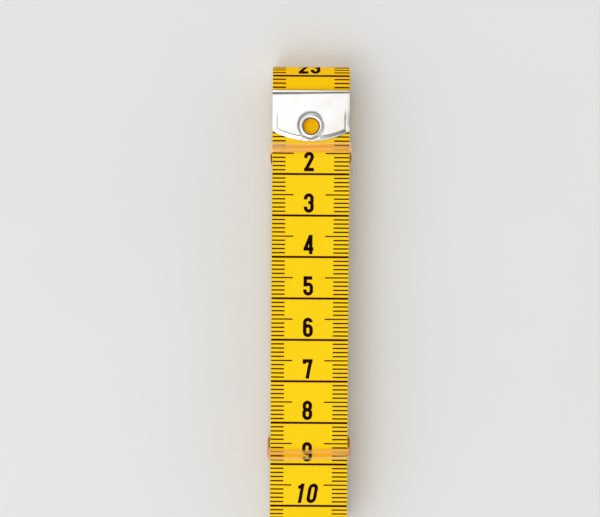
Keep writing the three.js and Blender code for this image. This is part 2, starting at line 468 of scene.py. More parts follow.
yellow_face = coated_cloth("yellow_vinyl_face", OUTER_YELLOW, DEEP_YELLOW, TIP_SHADOW_BROWN)
white_reverse = coated_cloth("white_vinyl_reverse", REVERSE_WHITE, REVERSE_GREY, REVERSE_GREY)
print("cloth finishes:", yellow_face.name, white_reverse.name)

# %% [markdown]
# The strip is slit from a wide web, so its long edges show the cut: the yellow coat above, and under it
# the pale cut yarns and the white coat. It could be two strips of mesh. One rim that changes its colour
# through the thickness looks the same at this size.

# %% The slit edge
CUT_YARN, EDGE_YELLOW = (0.86, 0.80, 0.62), (0.86, 0.56, 0.02)
YARN_SIZE = (0.3, 0.25, 0.12)
COAT_STOPS = ((0.35, 0.0), (0.62, 1.0))
FRAYING, YARN_RELIEF = 0.5, 0.03
YARN_ROUGH, FRAY_ROUGH = 0.6, 0.3


def slit_edge():
    """The yellow coat over pale cut yarns."""
    finish, shader, start = new_finish("slit_cloth_edge", {"Specular IOR Level": 0.2})
    place = place_on_piece(start)
    yarns = clouds(place, YARN_SIZE, detail=2.0)
    height = coordinate(place, "Z") / tape_thickness + 0.5 + (yarns - 0.5) * FRAYING
    tone = mix_colour(ramp(height, COAT_STOPS), CUT_YARN, EDGE_YELLOW)
    rough = YARN_ROUGH + yarns * FRAY_ROUGH
    feed(shader, Base_Color=tone, Roughness=rough, Normal=bump(yarns, YARN_RELIEF))
    return finish


CLOTH_FINISHES = (yellow_face, slit_edge(), white_reverse)
CLOTH_LIFTS = (face_lift, -face_lift)
print("top, rim and bottom of the cloth:", [finish.name for finish in CLOTH_FINISHES])

# %% [markdown]
# ## The wound tape
# From just behind the clip to the inner end, the strip is one sheet of 1.49 m. Cross-sections stand close
# together on the folds and further apart on the runs, which keeps the folds round with few faces.

# %% Where the tape has its cross-sections
RUN_STEP, FOLD_STEP, LEAST_STEP = 2.5, 0.4, 0.05
FACE_COLUMNS = 12
SEAM = 13.75


def stations(start, end):
    """Lengths along the tape, closer together on the folds."""
    marks = []
    for leg, fold in enumerate(leg_start[:-1] + run_length):
        run_count = math.ceil(run_length[leg] / RUN_STEP)
        fold_count = math.ceil((leg_start[leg + 1] - fold) / FOLD_STEP) + 1
        marks.append(np.linspace(leg_start[leg], fold, run_count))
        marks.append(np.linspace(fold, leg_start[leg + 1], fold_count))
    marks = np.unique(np.concatenate(marks).round(4))
    between = marks[(marks > start + LEAST_STEP) & (marks < end - LEAST_STEP)]
    return np.concatenate([[start], between, [end]])


wound_stations = stations(SEAM, tape_end - tape_inset)
print("cross-sections of the wound tape:", len(wound_stations))


# %% The wound strip
def lay_on_tape(name, flat, net, lifts, finishes, thirds):
    """A thin sheet that follows the tape, from flat places across and along it and its layers' lifts."""
    layers = [on_tape(flat[:, 1], flat[:, 0], lift) for lift in lifts]
    return sheet_piece(name, layers, net, finishes, flat, thirds)


columns = np.linspace(-half_width, half_width, FACE_COLUMNS + 1)
flat = np.stack(np.meshgrid(columns, wound_stations), axis=-1).reshape(-1, 2)
row = len(columns)
corners = np.array([i * row + j for i in range(len(wound_stations) - 1) for j in range(FACE_COLUMNS)])
quads = np.stack([corners, corners + 1, corners + row + 1, corners + row], axis=1)
wound_tape = lay_on_tape("wound_tape", flat, quads, CLOTH_LIFTS, CLOTH_FINISHES, CLOTH_LIFTS)

# %% [markdown]
# ## Flat patterns
# The tape's first end has a hole for the eyelet, and so has the clip. A flat pattern is cut first, with a
# grid of points inside so that it can bend, and then carried onto its surface. A Boolean would leave long
# thin faces; a constrained Delaunay net keeps the outline exact and the faces even.

# %% Cut a pattern with round holes
HOLE_STEPS = 72
NET_GRAIN = 1e-6
INSIDE_ONLY = 1


def circle(x, y, radius):
    """Points round a circle on a flat pattern."""
    turn = np.linspace(0, math.tau, HOLE_STEPS, endpoint=False)
    return np.stack([x + radius * np.cos(turn), y + radius * np.sin(turn)], axis=1)


def cut_pattern(outline, inside, holes=()):
    """Flat points and triangles of an outline with round holes, each given as x, y and radius."""
    loops = [np.asarray(outline)] + [circle(*hole) for hole in holes]
    edges, first = [], 0
    for loop in loops:
        edges += [(first + i, first + (i + 1) % len(loop)) for i in range(len(loop))]
        first += len(loop)
    flat = [Vector(p) for p in np.concatenate(loops + [np.asarray(inside)]).tolist()]
    points, _, faces, *_ = delaunay_2d_cdt(flat, edges, [], INSIDE_ONLY, NET_GRAIN)
    flat, net = np.array([tuple(p) for p in points]), np.array(faces)
    for x, y, radius in holes:
        middle = flat[net].mean(axis=1)
        net = net[np.hypot(middle[:, 0] - x, middle[:, 1] - y) > radius * math.cos(math.pi / HOLE_STEPS)]
    return flat, net


# %% [markdown]
# ## The tape's first end
# The first 14 mm lie in the clip and run out under the upper band. On the real tape this is the same
# strip. It is a piece of its own here, with a finer grid over the short stretch behind the clip where the
# end lifts.

# %% The eyelet's hole in the tape
EYELET_FLANGE = 0.35
HOLE_CLEARANCE = 0.05
eyelet_y = (eyelet_low.y + eyelet_high.y) / 2
eyelet_s = tip_y - eyelet_y
rim_radius = (eyelet_high.x - eyelet_low.x) / 2
barrel_radius = rim_radius - EYELET_FLANGE
hole_radius = barrel_radius + HOLE_CLEARANCE
print(f"hole of {2 * hole_radius:.2f} mm, {eyelet_s:.2f} mm from the tip")

# %% The end that bends
BEND_START, BEND_END = 12.95, 12.30
END_GRID, BEND_GRID, END_COLUMNS = 0.62, 0.08, 24
ROW_GAP, HOLE_GAP = 0.1, 0.2

flat_rows = np.arange(tape_inset + END_GRID, BEND_END - 2 * ROW_GAP, END_GRID)
bend_rows = np.arange(BEND_END - ROW_GAP, SEAM - ROW_GAP, BEND_GRID)
end_rows = np.concatenate([flat_rows, bend_rows])
side_rows = np.concatenate([[tape_inset], end_rows, [SEAM]])
end_columns = np.linspace(-half_width, half_width, END_COLUMNS + 1)[1:-1]
grid = [(x, s) for s in end_rows for x in end_columns]
inside = [(x, s) for x, s in grid if math.hypot(x, s - eyelet_s) > barrel_radius + HOLE_GAP]
outline = [(half_width, s) for s in side_rows]
outline += [(x, SEAM) for x in end_columns[::-1]]
outline += [(-half_width, s) for s in side_rows[::-1]]
outline += [(x, tape_inset) for x in end_columns]
flat, net = cut_pattern(outline, inside, [(0.0, eyelet_s, hole_radius)])
tape_first_end = lay_on_tape("tape_first_end", flat, net, CLOTH_LIFTS, CLOTH_FINISHES, CLOTH_LIFTS)

# %% [markdown]
# ## The printed scale
# The print is a thin film of dark ink: a line across the tape at each centimetre, short ticks at each
# millimetre, longer ones at the half, and a numeral before each line. It could be painted by a shader, but
# then the mesh would carry no print. So each mark is a real sheet of ink on the cloth.

# %% A mark across the tape
LINE_THICK = 0.51
INK_STEP = 1.6
THIN_INK, LINE_INK, FULL_INK = 1.0, 0.5, 0.0


def bar(left, right, length, thick):
    """A straight mark across the tape, as flat points, triangles and how thin its ink is."""
    count = max(2, math.ceil((right - left) / INK_STEP) + 1)
    xs = np.linspace(left, right, count)
    sides = [np.column_stack([xs, np.full(count, length + side * thick / 2)]) for side in (-1, 1)]
    i = np.arange(count - 1)
    near = np.stack([i, i + 1, i + 1 + count], axis=1)
    far = np.stack([i, i + 1 + count, i + count], axis=1)
    thin = THIN_INK if thick < LINE_THICK else LINE_INK
    return np.concatenate(sides), np.concatenate([near, far]), thin


# %% Lines and ticks of each millimetre
SCALE_ZERO = 0.24
PRINT_EDGE = 0.06
TICK = {"left": 3.2, "right": 3.7, "thick": 0.34}
HALF_TICK = {"left": 5.15, "right": 5.7, "thick": 0.31}


def marks_at(millimetre):
    """The marks of one millimetre of the scale: a line, or a tick at each edge of the tape."""
    length = SCALE_ZERO + millimetre
    edge = half_width - PRINT_EDGE
    if millimetre % 10 == 0:
        if abs(length - eyelet_s) > rim_radius:
            return [bar(-edge, edge, length, LINE_THICK)]
        ends, thick = (-rim_radius, rim_radius), LINE_THICK
    else:
        tick = HALF_TICK if millimetre % 10 == 5 else TICK
        ends, thick = (tick["left"] - half_width, half_width - tick["right"]), tick["thick"]
    return [bar(-edge, ends[0], length, thick), bar(ends[1], edge, length, thick)]


print("marks at 15, 16 and 20 mm:", [len(marks_at(m)) for m in (15, 16, 20)])

# %% [markdown]
# The numerals are condensed and bold, with one stroke width all round. A font would do, but the letter
# shapes of a font are its own. Drawing each numeral with a pen of constant width along arcs and straight
# lines is what a plate engraver does, and it takes only a few lines for each one.

# %% The pen and its paths
NUMERAL_HEIGHT, NUMERAL_WIDTH, STROKE = 4.68, 2.38, 0.83
PEN_STEP, ARC_STEP = 0.4, 15
pen = STROKE / 2
pen_high, pen_wide = NUMERAL_HEIGHT - STROKE, NUMERAL_WIDTH - STROKE
bowl = pen_wide / 2


def arc(x, y, radius, start, end):
    """Points on a circle, from one angle to another in degrees."""
    count = max(3, math.ceil(abs(end - start) / ARC_STEP) + 1)
    turn = np.radians(np.linspace(start, end, count))
    return [(x + radius * math.cos(a), y + radius * math.sin(a)) for a in turn]


def loop(low, high, radius):
    """An upright loop between two heights, which ends where it starts."""
    path = arc(bowl, high - radius, radius, 0, 180) + arc(bowl, low + radius, radius, 180, 360)
    return path + path[:1]


# %% Numerals with loops
SIX_LOOP, SIX_STEM, SIX_TURN = 0.60 * pen_high, 0.3 * pen_high, 5
EIGHT_WAIST, EIGHT_LAP = 0.53 * pen_high, 0.05
SIX = [loop(0, SIX_LOOP, bowl), [(0, SIX_STEM)] + arc(bowl, pen_high - bowl, bowl, 180, SIX_TURN)]
NUMERALS = {
    "0": [loop(0, pen_high, bowl)],
    "6": SIX,
    "8": [loop(0, EIGHT_WAIST + EIGHT_LAP, bowl), loop(EIGHT_WAIST, pen_high, bowl - EIGHT_LAP)],
    "9": [[(pen_wide - x, pen_high - y) for x, y in path] for path in SIX],
}
print("numerals with loops:", "".join(NUMERALS))

# %% Numerals with straight strokes
HOOK = 0.3
ONE_STEM, ONE_FLAG, FLAG_OUT = 0.60 * pen_wide, 0.62, 0.02
TWO_TURN, TWO_FOOT = -30, 0.06
THREE_WAIST, THREE_BEND, THREE_NOTCH = 0.53 * pen_high, 0.5, 0.42 * pen_wide
FOUR_STEM, FOUR_BAR = 0.86 * pen_wide, 0.22 * pen_high
FOUR_PEAK = (FOUR_STEM - 0.12, pen_high + 0.1)
FIVE_BOWL, FIVE_STEM, FIVE_DROP = 0.61 * pen_high, 0.06, 0.55
FIVE_BAR, FIVE_TURN = 0.2, 150
SEVEN_SERIF, SEVEN_TOP = 0.72, pen_wide - 0.02
SEVEN_KNEE, SEVEN_FOOT = (0.74 * pen_wide, 0.55 * pen_high), 0.44 * pen_wide
top_hook = [(0, pen_high - bowl - HOOK)]
low_bowl = arc(bowl, bowl, bowl, 0, -180) + [(0, bowl + HOOK)]
three_turn = pen_wide - THREE_BEND
NUMERALS["1"] = [
    [(ONE_STEM, -pen), (ONE_STEM, pen_high + pen)],
    [(ONE_STEM, pen_high - FLAG_OUT), (-FLAG_OUT, pen_high - ONE_FLAG)],
]
NUMERALS["2"] = [
    top_hook + arc(bowl, pen_high - bowl, bowl, 180, TWO_TURN) + [(TWO_FOOT, 0.0)],
    [(-pen, 0), (pen_wide + pen, 0)],
]
NUMERALS["3"] = [
    top_hook
    + arc(bowl, pen_high - bowl, bowl, 180, 0)
    + arc(three_turn, THREE_WAIST + THREE_BEND, THREE_BEND, 0, -90)
    + [(THREE_NOTCH, THREE_WAIST)],
    [(THREE_NOTCH, THREE_WAIST)] + arc(three_turn, THREE_WAIST - THREE_BEND, THREE_BEND, 90, 0) + low_bowl,
]
NUMERALS["4"] = [
    [(FOUR_STEM, -pen), (FOUR_STEM, pen_high + pen)],
    [FOUR_PEAK, (0, FOUR_BAR)],
    [(-pen, FOUR_BAR), (pen_wide + pen, FOUR_BAR)],
]
NUMERALS["5"] = [
    [(FIVE_STEM - pen, pen_high), (pen_wide + FIVE_BAR, pen_high)],
    [(FIVE_STEM, pen_high), (FIVE_STEM, FIVE_BOWL - FIVE_DROP)],
    arc(bowl, FIVE_BOWL - bowl, bowl, FIVE_TURN, 0) + low_bowl,
]
NUMERALS["7"] = [
    [(-pen, pen_high), (pen_wide + pen, pen_high)],
    [(0, pen_high), (0, pen_high - SEVEN_SERIF)],
    [(SEVEN_TOP, pen_high), SEVEN_KNEE, (SEVEN_FOOT, -pen)],
]
print("numerals drawn:", "".join(sorted(NUMERALS)))

# %% From pen paths to inked shapes
SAME_SPOT = 1e-4
MITRE_LEAST = 0.5


def finer(path):
    """The same path in steps no longer than the pen's; a closed one leaves out its last point."""
    fine = []
    for (x0, y0), (x1, y1) in zip(path, path[1:]):
        count = max(1, math.ceil(math.hypot(x1 - x0, y1 - y0) / PEN_STEP))
        fine += [(x0 + (x1 - x0) * i / count, y0 + (y1 - y0) * i / count) for i in range(count)]
    if path[0] != path[-1]:
        fine.append(path[-1])
    return np.array([p for i, p in enumerate(fine) if i == 0 or math.dist(p, fine[i - 1]) > SAME_SPOT])


def pen_quads(path):
    """Four-sided patches that a pen of constant width fills along a path."""
    line = finer(path)
    closed = path[0] == path[-1]
    after = np.roll(line, -1, axis=0) - line
    before = line - np.roll(line, 1, axis=0)
    if not closed:
        after[-1], before[0] = before[-1], after[0]
    after, before = (v / np.linalg.norm(v, axis=1)[:, None] for v in (after, before))
    along = after + before
    along /= np.linalg.norm(along, axis=1)[:, None]
    reach = pen / np.clip((along * after).sum(axis=1), MITRE_LEAST, 1)
    aside = np.stack([-along[:, 1], along[:, 0]], axis=1) * reach[:, None]
    left, right = line + aside, line - aside
    steps = [(i, (i + 1) % len(line)) for i in range(len(line) if closed else len(line) - 1)]
    return [(right[i], right[j], left[j], left[i]) for i, j in steps]


def inked(numeral):
    """A numeral's flat points and triangles, with its crossing strokes joined into one shape."""
    corners = [Vector(p) for path in NUMERALS[numeral] for quad in pen_quads(path) for p in quad]
    patches = np.arange(len(corners)).reshape(-1, 4).tolist()
    points, _, faces, _, _, patches_under = delaunay_2d_cdt(corners, [], patches, INSIDE_ONLY, SAME_SPOT)
    net = np.array([face for face, covered in zip(faces, patches_under) if covered])
    used, net = np.unique(net, return_inverse=True)
    return np.array([tuple(p) for p in points])[used] + pen, net.reshape(-1, 3)


INKED = {numeral: inked(numeral) for numeral in NUMERALS}
print("triangles in a numeral:", {n: len(net) for n, (flat, net) in sorted(INKED.items())})

# %% [markdown]
# A number's foot stands just before its line, and its numerals share one gap. The whole tens lean, which
# helps the eye to find them on the real scale.

# %% Set a number beside its line
NUMERAL_GAP, TENS_GAP = 0.50, 1.09
TENS_WIDE = 0.98
TENS_LEAN = math.tan(math.radians(10))
NUMBER_FOOT = 0.68
PRINT_SHIFT = -0.43


def number_at(centimetre):
    """The inked shapes of one number, in place on the flat tape."""
    tens = centimetre % 10 == 0
    lean, gap, wide = (TENS_LEAN, TENS_GAP, TENS_WIDE) if tens else (0.0, NUMERAL_GAP, 1.0)
    shapes, x = [], 0.0
    for numeral in str(centimetre):
        flat, net = INKED[numeral]
        flat = flat * (wide, 1.0)
        left, right = flat[:, 0].min(), flat[:, 0].max()
        shapes.append((flat + (x - left, 0), net))
        x += right - left + gap
    shift = PRINT_SHIFT - (x - gap) / 2
    foot = SCALE_ZERO + 10 * centimetre - NUMBER_FOOT
    placed = []
    for flat, net in shapes:
        leaning = flat[:, 0] + lean * (flat[:, 1] - NUMERAL_HEIGHT / 2)
        placed.append((np.stack([leaning + shift, foot - flat[:, 1]], axis=1), net, FULL_INK))
    return placed


print("shapes in number 10:", len(number_at(10)))

# %% [markdown]
# The ink dries matt, black where it is thick and a little brown where it is thin. One even black would do
# from far away. This finish changes its density slowly, so that the print doesn't look cut from plastic.

# %% Ink
INK_BLACK, INK_BROWN = (0.012, 0.0016, 0.0002), (0.085, 0.0060, 0.0003)
INK_GRAIN, INK_RELIEF = (0.7, 0.35, 0.7), 0.006
GRAIN_SHARE, GRAIN_LEVEL, THIN_SHARE = 0.8, 0.4, 0.85
INK_ROUGH, GRAIN_ROUGH = 0.42, 0.2


def dried_ink():
    """A thin dark film with uneven density."""
    finish, shader, start = new_finish("dried_ink", {"Specular IOR Level": 0.02})
    place = place_on_piece(start)
    density = clouds(place, INK_GRAIN, detail=4.0)
    brown = density * GRAIN_SHARE - GRAIN_LEVEL + coordinate(place, "Z") * THIN_SHARE
    tone = mix_colour(brown, INK_BLACK, INK_BROWN)
    rough = INK_ROUGH + density * GRAIN_ROUGH
    feed(shader, Base_Color=tone, Roughness=rough, Normal=bump(density, INK_RELIEF))
    return finish


ink = dried_ink()
print("ink finish:", ink.name)

# %% Lay the print on the tape
PRINT_START, PRINT_END = 10, 262
FIRST_NUMBER = 2
INK_FILM, INK_ROOT = 0.018, 0.02
INK_LIFTS = (face_lift + INK_FILM, face_lift - INK_ROOT)


def print_piece(name, shapes):
    """One object of ink from flat shapes, with all their triangles turned the same way."""
    nets, first = [], 0
    for flat, net, thin in shapes:
        ahead, aside = (flat[net[:, i]] - flat[net[:, 0]] for i in (1, 2))
        turned = ahead[:, 0] * aside[:, 1] < ahead[:, 1] * aside[:, 0]
        nets.append(np.where(turned[:, None], net[:, ::-1], net) + first)
        first += len(flat)
    thin = np.concatenate([np.full(len(flat), thin) for flat, net, thin in shapes])
    flat = np.concatenate([flat for flat, net, thin in shapes])
    return lay_on_tape(name, flat, np.concatenate(nets), INK_LIFTS, (ink,), (thin, thin))


seam_mark = math.floor(SEAM) + 1
end_marks = [mark for mm in range(PRINT_START, seam_mark) for mark in marks_at(mm)]
scale_marks = [mark for mm in range(seam_mark, PRINT_END) for mark in marks_at(mm)]
numbers = [shape for cm in range(FIRST_NUMBER, PRINT_END // 10 + 1) for shape in number_at(cm)]
end_print = print_piece("first_end_print", end_marks)
scale_print = print_piece("scale_print", scale_marks + numbers)

# %% [markdown]
# ## Nickel-plated steel
# Clips and eyelet are thin steel with bright nickel plate. Rolling leaves fine streaks, handling adds a
# faint haze, and painted shade darkens the hollows. One even roughness would make the metal look like a
# mirror. So the roughness varies, and each piece carries its painted shade as its third coordinate, which
# the finish mixes in.

# %% Bright nickel
# The second nickel is for haze and for a painted warm reflection.
NICKEL, NICKEL_HAZE_AND_REFLECTION = (0.95, 0.945, 0.935), (0.84, 0.80, 0.75)
# Dark colours painted into the hollows as shade: grey-green on the clips, brown in the eyelet's bore.
NICKEL_PAINTED_SHADE, BORE_PAINTED_SHADE = (0.075, 0.092, 0.070), (0.035, 0.016, 0.002)
HAZE_SIZE, ROLL_RELIEF = (4.0, 4.0, 4.0), 0.0012
SHADE_SHARE, SHADE_LEVEL, WARM_REFLECTION_ACROSS = 1.4, 0.5, 0.05
PAINTED_SHADE_SHARE, PAINTED_SHADE_HAZE, HOLLOW_MATT = 0.75, 0.3, 0.9
PLATE_ROUGH, ROLL_ROUGH, HAZE_ROUGH, HOLLOW_ROUGH = 0.12, 0.10, 0.08, 0.4


def bright_nickel(name, streaks, painted_shade):
    """Plated steel: rolling streaks of the given size, some haze, a painted warm reflection and painted
    shade in hollows.
    """
    finish, shader, start = new_finish(name, {"Specular IOR Level": 0.3})
    place = place_on_piece(start)
    rolled = clouds(place, streaks, detail=4.0)
    haze = clouds(place, HAZE_SIZE)
    hollow = coordinate(place, "Z")
    # Haze in patches, plus a painted warm reflection that grows towards the right side.
    haze_and_reflection = haze * SHADE_SHARE - SHADE_LEVEL + coordinate(place, "X") * WARM_REFLECTION_ACROSS
    tone = mix_colour(haze_and_reflection, NICKEL, NICKEL_HAZE_AND_REFLECTION)
    # Painted shade in the hollows, which are also made matt and rough.
    tone = mix_colour(hollow * (PAINTED_SHADE_SHARE + haze * PAINTED_SHADE_HAZE), tone, painted_shade)
    rough = PLATE_ROUGH + rolled * ROLL_ROUGH + haze * HAZE_ROUGH + hollow * HOLLOW_ROUGH
    bare = 1 - hollow * HOLLOW_MATT
    feed(shader, Base_Color=tone, Metallic=bare, Roughness=rough, Normal=bump(rolled, ROLL_RELIEF))
    return finish


clip_nickel = bright_nickel("bright_nickel_sheet", streaks=(6.0, 0.12, 6.0), painted_shade=NICKEL_PAINTED_SHADE)
# The eyelet's dark colour is a brown painted shade for its bore.
eyelet_nickel = bright_nickel("bright_nickel_eyelet", streaks=(0.4, 0.4, 0.4), painted_shade=BORE_PAINTED_SHADE)
print("metal finishes:", clip_nickel.name, eyelet_nickel.name)

# %% [markdown]
# ## The folded clips
# Each clip is one plate, folded round the end of the tape and pressed down. The press leaves a crease
# behind the fold, a raised field inside a border, and a dish where the eyelet is clenched. The plate is cut
# as a flat pattern and carried round the fold, so that it is one sheet as on the real clip.

# %% Sizes of the clip
PLATE = 0.25
CLIP_SIDE = 9.9
FOLD_ROUND = 0.28
clip_half = (clip_high.z - clip_low.z) / 2
clip_reach = clip_high.y - clip_low.y
bend_middle = FOLD_ROUND - PLATE / 2
fold_flat = clip_half - FOLD_ROUND
quarter_turn = math.pi / 2 * bend_middle
bulge = clip_reach - CLIP_SIDE
end_arc = (half_width**2 + bulge**2) / (2 * bulge)
print(f"clip {clip_reach:.2f} mm long, its end has a radius of {end_arc:.1f} mm")


def unfolded(from_tip):
    """Distance along the flat plate, from the middle of the fold."""
    return from_tip - FOLD_ROUND + quarter_turn + fold_flat


def end_at(across, inside=0.0):
    """Where the plate's curved end is, from the tip, or a line at a distance inside it."""
    return clip_reach - end_arc + np.sqrt((end_arc - inside) ** 2 - np.square(across))


# %% Distances on the plate
CREASE_AT, CREASE_SKEW = 0.60, 0.011
SIDE_BORDER, END_BORDER, END_FLAT = 1.12, 1.02, 0.42
FIELD_FROM, FIELD_FULL = 4.5, 7.0


def to_end(across, from_tip):
    """Distance to the plate's curved end."""
    return end_arc - np.hypot(across, from_tip - clip_reach + end_arc)


def in_field(across, from_tip):
    """Distance inside the border, less than 0 on it."""
    return np.minimum(half_width - np.abs(across) - SIDE_BORDER, to_end(across, from_tip) - END_BORDER)


def off_border(across, from_tip):
    """Distance from the step of the border."""
    return np.where(from_tip > FIELD_FROM, np.abs(in_field(across, from_tip)), SIDE_BORDER)


def past_crease(across, from_tip):
    """Distance beyond the crease, which isn't quite square to the sides."""
    return from_tip - CREASE_AT + CREASE_SKEW * across


print(f"the raised field ends {clip_reach - END_BORDER:.2f} mm from the tip")

# %% What the press leaves on the plate
CREASE_WIDE, CREASE_DEEP, CREASE_ROUND = 0.30, 0.20, 0.15
STEP_WIDE, STEP_RISE, SLOPE_RISE = 0.07, 0.07, 0.19
RISE_FROM, RISE_FULL = 1.0, 8.0
SIDE_FROM, SIDE_FULL, SIDE_SLOPE = 4.0, 9.0, 0.16
DISH_EDGE, DISH_FLOOR, DISH_DEEP = 3.42, 2.88, 0.29


def pressed(across, from_tip, front, dished):
    """How far the press moves the plate out of its flat: the back only has the crease."""
    step = smooth(-STEP_WIDE, STEP_WIDE, in_field(across, from_tip))
    rise = STEP_RISE * step * smooth(FIELD_FROM, FIELD_FULL, from_tip)
    raised = np.clip((from_tip - RISE_FROM) / (RISE_FULL - RISE_FROM), 0, 1)
    sloped = np.clip((to_end(across, from_tip) - END_FLAT) / (END_BORDER - END_FLAT), 0, 1)
    beside = np.clip((SIDE_BORDER - half_width + np.abs(across)) / SIDE_SLOPE, 0, 1)
    beside = beside * smooth(SIDE_FROM, SIDE_FULL, from_tip)
    rise = rise + SLOPE_RISE * raised * np.minimum(sloped, 1 - beside)
    if dished:
        out = np.hypot(across, from_tip - eyelet_s)
        rise = rise - DISH_DEEP * (1 - smooth(DISH_FLOOR, DISH_EDGE, out))
    from_crease = np.hypot(past_crease(across, from_tip) / CREASE_WIDE, CREASE_ROUND)
    return rise * front - CREASE_DEEP * np.maximum(1 - from_crease, 0)


print(f"the press raises the field by {pressed(0.0, RISE_FULL, True, False):.2f} mm")

# %% The outline of the flat plate
CORNER_CUT, CORNER_SPOTS = 0.5, 6
END_SPOTS = 60
SIDE_GAP = 0.1


def corner_points(towards, corner, away):
    """A small round in place of a sharp corner."""
    a, b, c = np.array(towards), np.array(corner), np.array(away)
    start, end = (b + (p - b) / np.linalg.norm(p - b) * CORNER_CUT for p in (a, c))
    shares = np.linspace(0, 1, CORNER_SPOTS)
    return [tuple((1 - t) ** 2 * start + 2 * t * (1 - t) * b + t**2 * end) for t in shares]


def clip_outline(rows):
    """Two straight sides and two curved ends, of which the back one is the front one turned half round."""
    side = unfolded(CLIP_SIDE)
    xs = np.linspace(half_width, -half_width, END_SPOTS)[2:-2]
    ends = unfolded(end_at(xs))
    sides = [v for v in rows if abs(v) < side - CORNER_CUT - SIDE_GAP]
    front = corner_points((half_width, 0), (half_width, side), (xs[0], ends[0]))
    front += list(zip(xs, ends))
    front += corner_points((xs[-1], ends[-1]), (-half_width, side), (-half_width, 0))
    back = [(-x, -v) for x, v in front]
    return [(half_width, v) for v in sides] + front + [(-half_width, v) for v in sides[::-1]] + back


# %% Points along the step of the border
STEP_OFFSETS = (-0.32, -0.16, -0.07, -0.025, 0.025, 0.07, 0.16, 0.32)
FLAT_OFFSETS = (-0.08, 0.0, 0.08)
STEP_SPOTS, FLAT_SPOTS, SIDE_STEP = 130, 90, 0.15
CORNER_GAP = 0.05


def border_spots():
    """Places, across and from the tip, close beside the step, so that it comes out crisp."""
    spots = []
    for offset in STEP_OFFSETS:
        side, inside = half_width - SIDE_BORDER - offset, END_BORDER + offset
        xs = np.linspace(-side, side, STEP_SPOTS)
        spots += list(zip(xs, end_at(xs, inside)))
        along_side = np.arange(FIELD_FROM, end_at(side, inside) - CORNER_GAP, SIDE_STEP)
        spots += [(x, s) for s in along_side for x in (-side, side)]
    for offset in FLAT_OFFSETS:
        xs = np.linspace(-half_width, half_width, FLAT_SPOTS)[2:-2]
        spots += list(zip(xs, end_at(xs, END_FLAT + offset)))
    return spots


print("places beside the border's step:", len(border_spots()))

# %% Points inside the pattern
CLIP_GRID, FOLD_GRID, DISH_GRID, CLIP_COLUMNS = 0.42, 0.05, 0.11, 45
FINE_TO = 1.5
STEP_CLEAR, SIDE_CLEAR, END_CLEAR, RING_CLEAR = 0.40, 0.1, 0.2, 0.12
DISH_MARGIN, DISH_GAP = 0.25, 0.05


def clip_rows():
    """Heights of the grid on the flat plate, fine at the fold and the crease."""
    fine = np.arange(0, unfolded(FINE_TO), FOLD_GRID)
    wide = np.arange(unfolded(FINE_TO), unfolded(clip_reach), CLIP_GRID)
    half = np.concatenate([fine, wide])
    return np.concatenate([-half[:0:-1], half])


def well_inside(x, v):
    """Whether a place keeps clear of the plate's edges and of its cut corners."""
    to_side = half_width - abs(x)
    to_corner = unfolded(CLIP_SIDE) - CORNER_CUT + to_side - abs(v)
    return unfolded(end_at(x)) - abs(v) > END_CLEAR and to_side > SIDE_CLEAR and to_corner > 0


def clip_inside(rows, holes):
    """Grid points, with rings round each hole in place of the grid there."""
    columns = np.linspace(-half_width, half_width, CLIP_COLUMNS + 1)[1:-1]
    grid = [(x, v) for v in rows for x in columns if off_border(x, abs(v) - unfolded(0.0)) > STEP_CLEAR]
    grid += [(x, side * unfolded(s)) for x, s in border_spots() for side in (-1, 1)]
    kept = [(x, v) for x, v in grid if well_inside(x, v)]
    near = DISH_EDGE + DISH_MARGIN
    for hole_x, hole_v, radius in holes:
        kept = [(x, v) for x, v in kept if math.hypot(x - hole_x, v - hole_v) > near]
        rings = np.arange(radius + DISH_GRID, near - DISH_GAP, DISH_GRID)
        spots = np.concatenate([circle(hole_x, hole_v, ring) for ring in rings])
        kept += [(x, v) for x, v in spots if abs(v) < unfolded(end_at(x)) - RING_CLEAR]
    return kept


# %% Fold the plate
EDGE_ROUND, EDGE_WIDE = 0.05, 0.06
FOLD_BLEND = 0.1


def fold_plate(flat, tip, middle_z, dished, lift):
    """Points of one layer of the plate: lift is its distance from the middle of the plate's thickness."""
    x, v = flat.T
    turn = np.clip((np.abs(v) - fold_flat) / bend_middle, 0, math.pi / 2)
    past = np.maximum(np.abs(v) - fold_flat - quarter_turn, 0)
    from_tip = FOLD_ROUND + past
    inside = np.minimum(half_width - np.abs(x), end_at(x) - from_tip)
    rounded = EDGE_ROUND * np.exp(-np.maximum(inside, 0) / EDGE_WIDE) if lift > 0 else 0
    bend = bend_middle + lift - rounded
    y = tip - from_tip + bend * np.cos(turn)
    side = np.minimum(np.abs(v), fold_flat) + bend * np.sin(turn)
    side = side + pressed(x, from_tip, v > 0, dished) * smooth(0, FOLD_BLEND, past)
    return np.stack([x, y, middle_z + np.sign(v) * side], axis=1)


# %% [markdown]
# Painted shade darkens the crease, both sides of the border's step and the dish. A
# shader can look for hollows by itself, but not in every renderer. So each point of the plate gets its
# painted shade from the same distances as the pressed shape. Round the dish it isn't even: darkest on the
# upper left and at the bottom, and on the dish's floor to the right.

